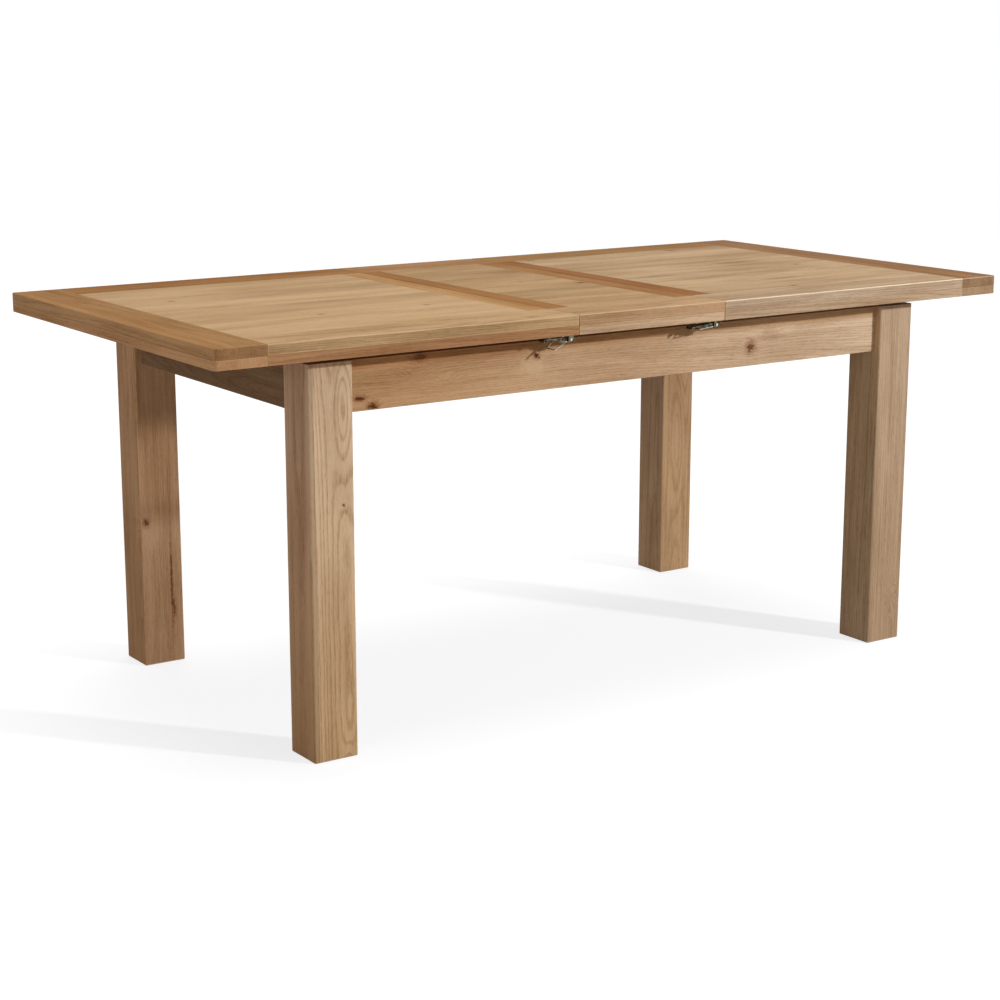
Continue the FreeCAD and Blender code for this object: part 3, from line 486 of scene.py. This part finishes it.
def oak(node, axes, tone, pith=(0.02, 0.09), tilt=0.02, rings=0.0042, figure=0.5, streaky=1.0, pores=0.45,
        end=END_GRAIN, contrast=1.0, fold=0.0, staves=(), scatter=SCATTER, knots=(), fade=None, side=None,
        painted_side_shade=None, painted_shadow_band=None, painted_arris_highlight=0.0, wear_and_highlight=0.3):
    """Gives a CAD node a piece of oak of its own.

    axes names the directions along the grain, across it and through the board. pith is the place of the
    tree's heart across and through, and tilt is how far it leans through the board for each metre along.
    fold is the distance from the middle at which a node's two like boards lie. scatter moves the heart
    from stave to stave. fade tints the board's low and high ends, partly as the wood's own
    tone and partly as painted light and shade. side tints the faces that look across the grain, partly as
    their own tone and partly as painted light and shade. painted_side_shade paints shade and light on the
    low and high ends of those faces. painted_shadow_band paints shade, darker and browner, on the low and
    high ends of a strip along the upper edge, and end tints its end grain. painted_arris_highlight is how
    strongly a pale highlight is painted on the rounded upper arris, and wear_and_highlight how pale the
    edges are: worn, and where it is raised, partly a painted highlight.
    """
    graph, shader = new_material("oak", node)
    board = Board(graph, node, axes)
    across = board.across
    seed = next(seeds) * SEED_STRIDE
    if fold:
        seed = seed + graph.step(across, -FOLD_WIDTH, FOLD_WIDTH) * FOLD_SEED
        across = graph.math("ABSOLUTE", across) - fold
    heart_across, heart_through = pith
    heart_through = board.along * tilt + heart_through
    tints = []
    if staves:
        stave_tone, shift, depth = stave_fields(graph, across, board.width, staves)
        seed = seed + shift * STAVE_SEEDS
        heart_across = (shift - 0.5) * scatter[0] + heart_across
        heart_through = heart_through + depth * scatter[1]
        tints.append(graph.combine(*[stave_tone * STAVE_TONE] * 3))
    point = graph.combine(board.along, across, board.through)
    swell, masks = knot_fields(graph, point, board.middle, knots)

    pale = scaled(tone, *(1 + rise * contrast for rise in PALE_RISE))
    dark = scaled(tone, *(1 - drop * contrast for drop in DARK_DROP))
    end_face = graph.step(board.facing[0], *END_FACE_EDGE)
    wood = graph.use(OAK, Point=point, Pith=graph.combine(0.0, heart_across, heart_through), Seed=seed,
                     Rings=rings, Swell=swell, Pale=pale, Dark=dark, Figure=figure, Streaky=streaky,
                     Pores=pores, End=end_face, EndTint=(*end, 1.0))
    colour, height = wood["Color"], wood["Height"]
    for tint in tints + board_tints(graph, board, fade, side, painted_side_shade, painted_shadow_band):
        colour = graph.tinted(colour, tint)

    # Painted highlights: the gleams' pale patches, where curly grain catches the light.
    if "glow" in masks:
        colour = graph.blend(masks["glow"], colour, pale)
    if "heart" in masks:
        colour = graph.blend(masks["halo"], colour, HALO_BROWN)
        heartwood = graph.blend(graph.patches(point, KNOT_GRAIN), KNOT_BLACK, KNOT_BROWN)
        colour = graph.blend(masks["heart"], colour, heartwood)
        height = height - masks["heart"] * KNOT_HOLLOW

    border = graph.use(BORDER, Position=board.position, Low=board.low, High=board.high)
    # Pale edges: partly worn edges, and where the amount is raised, as on the front rails, partly a painted
    # highlight of the arris.
    colour = graph.blend(border["Wear"] * wear_and_highlight, colour, scaled(tone, *WORN_AND_HIGHLIGHT_PALE))
    colour = graph.blend(border["Line"] * LINE_STRENGTH, colour, PORE_BROWN)
    # Painted highlight: the rounded upper arris made pale, as light catches it.
    if painted_arris_highlight:
        colour = graph.blend(arris_highlight_mask(graph, board) * painted_arris_highlight, colour, ARRIS_HIGHLIGHT)
    height = height - border["Line"] * LINE_GROOVE

    graph.feed(shader["Base Color"], colour)
    graph.feed(shader["Roughness"], wood["Roughness"])
    graph.feed(shader["Normal"], graph.relief(height, *OAK_RELIEF))
    graph.feed(shader["Specular IOR Level"], OAK_SHEEN)


# ---------------------------------------------------------------- steel

GREASE = Layer((0.012, 0.012, 0.012), 3.0, (0.35, 0.65))
SCRATCHES = Layer((0.02, 0.0006, 0.0006), 2.0)
STAIN_ROUGHNESS, SCRATCH_ROUGHNESS, RIVET_ROUGHNESS = 0.16, 0.2, -0.14
RIVET_EDGE = (0.0018, 0.0028)
STEEL_RELIEF = (0.2, 0.0001)

DARK_STEEL = on_screen(120, 112, 94)
STAINED_STEEL = on_screen(60, 54, 44)
RIVET_STEEL = on_screen(186, 184, 172)
WIRE_STEEL = on_screen(190, 188, 176)
WIRE_SHADE = on_screen(132, 130, 116)
ZINC = on_screen(176, 172, 160)
ZINC_SHADE = on_screen(128, 124, 110)


def steel(node, clean, stained, roughness, rivet=None):
    """Gives a CAD node a metal finish, stained in patches and finely scratched along X.

    rivet is the (x, z) of a rivet whose head is worn bright.
    """
    graph, shader = new_material("steel", node)
    position = graph.coordinates("Object")
    stains = graph.patches(position, GREASE)
    scratches = graph.noise(position, SCRATCHES)
    colour = graph.blend(stains, clean, stained)
    rough = roughness + stains * STAIN_ROUGHNESS + (scratches - 0.5) * SCRATCH_ROUGHNESS
    if rivet:
        x, _, z = graph.split(position)
        off_rivet = graph.vector("LENGTH", graph.combine(x - rivet[0], z - rivet[1], 0.0))
        head = 1.0 - graph.step(off_rivet, *RIVET_EDGE)
        colour = graph.blend(head, colour, RIVET_STEEL)
        rough = rough + head * RIVET_ROUGHNESS
    graph.feed(shader["Base Color"], colour)
    graph.feed(shader["Roughness"], rough)
    graph.feed(shader["Normal"], graph.relief(scratches, *STEEL_RELIEF))
    graph.feed(shader["Metallic"], 1.0)


# ---------------------------------------------------------------- the boards

LEFT_STAVES = [Stave(-0.35, 0.54), Stave(-0.207, 0.51), Stave(-0.063, 0.455), Stave(-0.008, 0.525),
               Stave(0.098, 0.47), Stave(0.205, 0.50), Stave(0.30, 0.475)]
LEAF_STAVES = [Stave(-0.35, 0.525), Stave(-0.235, 0.48), Stave(-0.118, 0.41), Stave(-0.104, 0.515),
               Stave(0.02, 0.49), Stave(0.13, 0.465), Stave(0.24, 0.49)]
RIGHT_STAVES = [Stave(-0.35, 0.50), Stave(-0.262, 0.53), Stave(-0.15, 0.49), Stave(-0.03, 0.515),
                Stave(0.085, 0.48), Stave(0.19, 0.515), Stave(0.285, 0.47)]

oak("left_panel", "xyz", on_screen(192, 160, 120), figure=0.3, streaky=0.6, contrast=0.75,
    staves=LEFT_STAVES, knots=[
        knot(-0.718, 0.149, 0.0035, heart=0.9),
        knot(-0.568, -0.177, 0.004, heart=0.35, halo=0.5),
        knot(-0.334, -0.171, 0.004, heart=0.25, halo=0.45)])
oak("leaf_panel", "xyz", on_screen(175, 143, 103), figure=0.35, streaky=0.7, contrast=1.1,
    staves=LEAF_STAVES, knots=[
        knot(0.115, -0.055, 0.0055, heart=0.95),
        knot(0.02, 0.03, 0.004, heart=0.2, halo=0.3)])
oak("right_panel", "xyz", on_screen(181, 152, 117), figure=0.35, streaky=0.7, contrast=1.1,
    staves=RIGHT_STAVES, knots=[
        knot(0.265, 0.344, 0.006, heart=0.4),
        knot(0.661, 0.330, 0.007, heart=0.35),
        knot(0.619, 0.054, 0.009, stretch=4.5, heart=0.2, halo=0.5),
        knot(0.307, -0.057, 0.008, stretch=4.5, heart=0.15, halo=0.4),
        knot(0.523, -0.225, 0.008, stretch=4.5, heart=0.2, halo=0.4),
        knot(0.451, -0.339, 0.005, heart=0.5),
        knot(0.715, -0.051, 0.005, heart=0.3)])

oak("left_end_board", "yxz", on_screen(159, 118, 72), pith=(0.06, 0.05), figure=0.5,
    side=(1.24, 1.44, 2.02), end=(0.82, 0.81, 1.02), staves=[Stave(-0.05, 0.53), Stave(-0.006, 0.47)])
# The front rails' rounded upper arrises carry a painted highlight, and their raised pale edges are partly a
# painted highlight too.
oak("left_front_rail", "xyz", on_screen(181, 148, 107), pith=(0.02, 0.12), figure=0.4,
    side=(0.87, 0.85, 0.84), painted_arris_highlight=0.2, contrast=1.25, wear_and_highlight=0.5)
oak("left_rear_rail", "xyz", on_screen(151, 106, 57), pith=(0.15, 0.05), figure=0.5)
oak("left_cross_strip", "yxz", on_screen(179, 137, 87), pith=(0.2, 0.03), figure=0.4)
oak("leaf_left_strip", "yxz", on_screen(151, 105, 56), pith=(0.05, 0.06), figure=0.6)
oak("leaf_right_strip", "yxz", on_screen(155, 113, 67), pith=(0.12, 0.05), figure=0.5)
oak("leaf_front_rail", "xyz", on_screen(177, 143, 104), pith=(0.02, 0.07), figure=0.5,
    side=(0.95, 0.90, 0.93), painted_arris_highlight=0.25, contrast=1.1, wear_and_highlight=0.5)
oak("leaf_rear_rail", "xyz", on_screen(160, 119, 77), pith=(0.1, 0.06), figure=0.5)
oak("right_cross_strip", "yxz", on_screen(142, 94, 50), pith=(0.07, 0.06), figure=0.6)
oak("right_front_rail", "xyz", on_screen(175, 148, 116), pith=(0.12, 0.08), figure=0.35,
    side=(1.03, 1.05, 1.16), painted_arris_highlight=0.9, contrast=1.1, wear_and_highlight=0.5)
oak("right_rear_rail", "xyz", on_screen(150, 112, 66), pith=(0.03, 0.08), figure=0.5)
oak("right_end_board", "yxz", on_screen(144, 106, 69), pith=(0.05, 0.06), figure=0.5,
    side=(1.2, 1.25, 1.4), end=(1.0, 1.16, 1.52), painted_arris_highlight=0.3)

oak("left_end_edging", "yxz", on_screen(189, 149, 110), pith=(0.10, 0.05), figure=0.25,
    end=(0.87, 0.80, 0.74))
oak("right_end_edging", "yxz", on_screen(167, 137, 104), pith=(0.04, 0.05), figure=0.5,
    end=(0.9, 0.88, 0.86))
oak("left_long_edgings", "xyz", on_screen(165, 122, 85), pith=(0.1, 0.05), figure=0.45, fold=0.4)
oak("leaf_long_edgings", "xyz", on_screen(188, 157, 124), pith=(0.06, 0.05), figure=0.5, fold=0.4)
oak("right_long_edgings", "xyz", on_screen(180, 152, 122), pith=(0.09, 0.06), figure=0.5, fold=0.4)

# The front apron: its upper strip has painted shade. Its ends are tinted partly by tone and partly by painted
# light, lighter towards the right.
oak("front_apron", "xzy", on_screen(191, 158, 122), pith=(0.07, 0.05), tilt=0.03, figure=0.38, streaky=0.7,
    fade=((0.88, 0.77, 0.66), (1.1, 1.18, 1.33)), painted_shadow_band=((0.88, 0.76, 0.62), (0.76, 0.64, 0.50)), knots=[
        knot(-0.487, 0.720, 0.007, heart=0.35, halo=0.7, lift=0.012),
        knot(-0.611, 0.657, 0.004, stretch=2.5, heart=0.9, halo=0.7),
        knot(-0.585, 0.640, 0.006, heart=0.95, halo=0.8, lift=0.01),
        bump(-0.500, 0.686, 0.020, 2.5, 0.018),
        bump(-0.430, 0.672, 0.018, 2.0, 0.016),
        knot(-0.230, 0.701, 0.0055, stretch=1.0, heart=1.0, halo=0.6, lift=0.006),
        knot(-0.224, 0.696, 0.0025, stretch=1.0, heart=1.0, halo=0.5, lift=0.004),
        bump(-0.232, 0.695, 0.022, 1.0, 0.014),
        gleam(-0.236, 0.680, 0.010, 1.6, 0.55),
        knot(0.295, 0.672, 0.0095, stretch=1.0, heart=0.75, halo=0.65, lift=0.012),
        knot(0.345, 0.693, 0.008, stretch=2.2, heart=0.0, halo=0.28, lift=0.008)])
oak("rear_apron", "xzy", on_screen(182, 145, 109), pith=(0.02, 0.06), tilt=0.03, figure=0.6, knots=[
    knot(0.21, 0.690, 0.006, heart=0.8),
    knot(-0.39, 0.665, 0.005, heart=0.6)])
# Painted shade: its tone is set darker than the other aprons', as the end apron stands in shade.
oak("left_apron", "yzx", on_screen(131, 107, 83), pith=(0.02, 0.04), tilt=0.06, figure=0.45)
oak("right_apron", "yzx", on_screen(170, 132, 95), pith=(0.03, 0.05), figure=0.6, knots=[
    knot(0.12, 0.68, 0.006, heart=0.8)])

oak("leg_front_left", "zxy", on_screen(196, 162, 125), pith=(-0.023, 0.010), tilt=0.01, rings=0.0055,
    figure=0.7, streaky=0.5, pores=0.35, fade=((0.96, 0.95, 0.88), (1.07, 1.14, 1.26)),
    side=(1.22, 1.2, 1.28), scatter=(0.0, 0.0), staves=[Stave(-0.045, 0.36), Stave(-0.0345, 0.50)], knots=[
        bump(0.655, -0.657, 0.030, 6.0, 0.030),
        bump(-0.020, -0.655, 0.020, 3.0, 0.016),
        knot(0.472, -0.657, 0.0022, stretch=1.2, lift=0.004)])
oak("leg_front_right", "zxy", on_screen(171, 141, 110), pith=(0.05, 0.03), tilt=0.03, figure=0.5,
    fade=((0.98, 0.98, 0.97), (1.06, 1.11, 1.18)), side=(1.18, 1.25, 1.31),
    painted_side_shade=((1.12, 1.20, 1.31), (0.83, 0.77, 0.68)), knots=[
        bump(0.110, 0.700, 0.016, 2.2, 0.022),
        bump(0.060, 0.690, 0.012, 2.0, 0.012)])
oak("leg_rear_left", "zxy", on_screen(179, 143, 109), pith=(0.09, 0.04), tilt=0.03, rings=0.003,
    figure=0.55, fade=((0.86, 0.83, 0.79), (1.03, 1.03, 1.05)), side=(1.14, 1.19, 1.24), wear_and_highlight=0.9, knots=[
        knot(0.304, -0.713, 0.006, stretch=1.2, heart=0.75, halo=0.6, lift=0.014),
        gleam(0.285, -0.700, 0.012, 2.0, 0.45),
        knot(0.165, -0.660, 0.0024, stretch=34.0, lift=0.002, heart=0.75, halo=0.5),
        knot(0.118, -0.657, 0.0035, stretch=6.0, lift=0.004, heart=0.7, halo=0.5)])
oak("leg_rear_right", "zxy", on_screen(183, 146, 108), pith=(-0.005, 0.020), tilt=0.01, rings=0.005,
    figure=0.4, streaky=0.7, fade=((1.08, 1.09, 1.08), (0.80, 0.78, 0.77)), side=(1.14, 1.26, 1.5), knots=[
        bump(0.330, 0.680, 0.030, 9.0, 0.030),
        knot(0.575, 0.633, 0.006, stretch=6.0, lift=0.001, heart=0.5, halo=0.6)])

# Planed hardwood that is only seen from below.
INSIDE = on_screen(184, 152, 112)
oak("corner_blocks", "xyz", INSIDE, pith=(0.3, 0.08), figure=0.4, contrast=0.8)
oak("left_bearer", "yxz", INSIDE, pith=(0.02, 0.05), figure=0.5)
oak("right_bearer", "yxz", INSIDE, pith=(0.03, 0.06), figure=0.5)
for inside in ("front_guide", "rear_guide"):
    oak(inside, "xyz", INSIDE, pith=(0.04, 0.05), figure=0.4, contrast=0.8)
oak("left_runners", "xyz", INSIDE, pith=(0.04, 0.05), figure=0.4, contrast=0.8, fold=0.2265)
oak("right_runners", "xyz", INSIDE, pith=(0.03, 0.06), figure=0.4, contrast=0.8, fold=0.1735)
for inside in ("left_batten", "right_batten", "left_seam_edging", "right_seam_edging"):
    oak(inside, "yxz", INSIDE, pith=(0.03, 0.05), figure=0.5)
oak("leaf_seam_edgings", "yxz", INSIDE, pith=(0.03, 0.05), figure=0.5, fold=0.14)


# ---------------------------------------------------------------- the metal

PLATE_ROUGHNESS, LEVER_ROUGHNESS, WIRE_ROUGHNESS, ZINC_ROUGHNESS = 0.32, 0.28, 0.18, 0.28
PIVOT_SETBACK, PIVOT_LEVEL = 0.0065, 0.7325

for owner, seam in (("left", -0.1754), ("leaf", 0.175)):
    steel(f"{owner}_catch_plates", DARK_STEEL, STAINED_STEEL, PLATE_ROUGHNESS,
          rivet=(seam - PIVOT_SETBACK, PIVOT_LEVEL))
    for side in ("front", "rear"):
        steel(f"{owner}_{side}_catch_lever", DARK_STEEL, STAINED_STEEL, LEVER_ROUGHNESS)
        steel(f"{owner}_{side}_catch_bail", WIRE_STEEL, WIRE_SHADE, WIRE_ROUGHNESS)
for keeper in ("leaf_keepers", "right_keepers"):
    steel(keeper, DARK_STEEL, STAINED_STEEL, PLATE_ROUGHNESS)
for fixing in ("leg_bolts", "leg_washers", "leg_nuts", "guide_screws", "left_top_screws", "right_top_screws",
               "leaf_screws"):
    steel(fixing, ZINC, ZINC_SHADE, ZINC_ROUGHNESS)


# ---------------------------------------------------------------- studio

def backdrop_share(graph):
    """1 for rays that see the backdrop straight, in gloss or through glass, and 0 for its light on things."""
    path = graph.tree.nodes.new("ShaderNodeLightPath")
    seen = [Field(graph, path.outputs[name])
            for name in ("Is Camera Ray", "Is Glossy Ray", "Is Transmission Ray")]
    return graph.largest(graph.largest(seen[0], seen[1]), seen[2])


FLOOR_HALF = 30.0
FLOOR_DROP = 0.0005
FLOOR_SHADE = (0.36, 0.36, 0.36, 1.0)
# The glow is a little cool, which makes up for the warm sky.
FLOOR_GLOW = 0.785
FLOOR_GLOW_SHADE = (0.965, 0.976, 1.0, 1.0)


def add_floor():
    """A white floor, mostly by a glow of its own, and by the lamps' light for the rest, with soft shadows."""
    mesh = bpy.data.meshes.new("studio_floor")
    corners = [(x * FLOOR_HALF, y * FLOOR_HALF, -FLOOR_DROP) for x, y in ((-1, -1), (1, -1), (1, 1), (-1, 1))]
    mesh.from_pydata(corners, [], [(0, 1, 2, 3)])
    floor = bpy.data.objects.new("studio_floor", mesh)
    bpy.context.scene.collection.objects.link(floor)
    material = bpy.data.materials.new("studio_floor")
    material.use_nodes = True
    material.node_tree.nodes.clear()
    graph = Graph(material.node_tree)
    seen = backdrop_share(graph)
    lit = graph.result("ShaderNodeBsdfDiffuse", {"Color": FLOOR_SHADE})
    glow = graph.result("ShaderNodeEmission", {"Color": FLOOR_GLOW_SHADE, "Strength": seen * FLOOR_GLOW})
    both = graph.result("ShaderNodeAddShader", {0: lit, 1: glow})
    graph.node("ShaderNodeOutputMaterial", {"Surface": both})
    mesh.materials.append(material)


SKY_LIGHT = 0.24
SKY_WARMTH = (1.0, 0.84, 0.69, 1.0)


def add_world():
    """A surround that looks white, and lights the table evenly, warmly and softly."""
    world = bpy.data.worlds.new("studio")
    bpy.context.scene.world = world
    world.use_nodes = True
    graph = Graph(world.node_tree)
    seen = backdrop_share(graph)
    background = world.node_tree.nodes["Background"]
    graph.feed(background.inputs["Color"], graph.blend(seen, SKY_WARMTH, WHITE))
    graph.feed(background.inputs["Strength"], seen * (1.0 - SKY_LIGHT) + SKY_LIGHT)


def aim(lamp, place, target, gloss=True):
    """Puts a lamp in the scene at a place, pointing at a target. gloss says if it shows in shiny surfaces."""
    holder = bpy.data.objects.new(lamp.name, lamp)
    holder.location = place
    x, y, z = (start - end for start, end in zip(place, target))
    holder.rotation_euler = (math.atan2(math.hypot(x, y), z), 0, math.atan2(y, x) + math.pi / 2)
    holder.visible_camera = False
    holder.visible_glossy = gloss
    bpy.context.scene.collection.objects.link(holder)


OVERHEAD_POWER = 1.4
OVERHEAD_SPREAD = 40.0
OVERHEAD_PLACE = (0.3, 0.4, 3.0)


def add_overhead():
    """Broad soft light from above."""
    lamp = bpy.data.lights.new("overhead", "SUN")
    lamp.energy = OVERHEAD_POWER
    lamp.angle = math.radians(OVERHEAD_SPREAD)
    aim(lamp, OVERHEAD_PLACE, (0.0, 0.0, 0.0))


DiskLamp = namedtuple("DiskLamp", "name power size place colour gloss")
DISK_LAMPS = (
    # The key is low enough that the top's overhang shades only a narrow band of the apron.
    DiskLamp("key", 306.0, 0.35, (3.57, -5.49, 3.0), (1.0, 1.05, 1.1), True),
    DiskLamp("fill", 56.0, 2.5, (-5.6, -2.4, 1.1), (1.0, 0.86, 0.72), True),
    # The rear fill's gloss would veil the top, seen from the front.
    DiskLamp("rear_fill", 50.0, 3.0, (3.0, 5.6, 1.1), (1.0, 0.93, 0.86), False))
DISK_TARGET = (0.0, 0.0, 0.6)


def add_disk_lamps():
    for disk in DISK_LAMPS:
        lamp = bpy.data.lights.new(disk.name, "AREA")
        lamp.color = disk.colour
        lamp.shape = "DISK"
        lamp.size = disk.size
        lamp.energy = disk.power
        aim(lamp, disk.place, DISK_TARGET, disk.gloss)


SNOOT_PLACE = (0.5, -4.0, 0.15)
SNOOT_LEVEL = 0.41
SNOOT_POWER = 275.0
SNOOT_SPREAD = 3.0
SNOOT_FADE = 0.7
SNOOT_RADIUS = 0.03
SNOOT_COLOUR = (1.0, 0.98, 0.93)


def add_snoot():
    """A narrow beam that passes under the front apron to the rear left leg, which the top shades."""
    lamp = bpy.data.lights.new("snoot", "SPOT")
    lamp.color = SNOOT_COLOUR
    lamp.shadow_soft_size = SNOOT_RADIUS
    lamp.energy = SNOOT_POWER
    lamp.spot_size = math.radians(SNOOT_SPREAD)
    lamp.spot_blend = SNOOT_FADE
    low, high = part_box("leg_rear_left")
    aim(lamp, SNOOT_PLACE, ((low[0] + high[0]) / 2, low[1], SNOOT_LEVEL))


# The camera stands in front of the left end of the table, above it, and looks slightly down.
CAMERA_PLACE = (-2.4739, -3.5879, 1.3132)
CAMERA_TURN = 34.057
CAMERA_TILT = 12.822
FOCAL_PIXELS = 2112.5
PICTURE_PIXELS = 1000
SENSOR_WIDTH = 36.0
FARTHEST = 200.0


def add_camera():
    camera = bpy.data.cameras.new("photo_camera")
    camera.sensor_width = SENSOR_WIDTH
    camera.lens = SENSOR_WIDTH * FOCAL_PIXELS / PICTURE_PIXELS
    camera.clip_end = FARTHEST
    holder = bpy.data.objects.new("photo_camera", camera)
    holder.location = CAMERA_PLACE
    holder.rotation_euler = (math.radians(90 - CAMERA_TILT), 0, math.radians(-CAMERA_TURN))
    bpy.context.scene.collection.objects.link(holder)
    bpy.context.scene.camera = holder


add_floor()
add_world()
add_overhead()
add_disk_lamps()
add_snoot()
add_camera()
bpy.context.scene.view_settings.view_transform = "Standard"
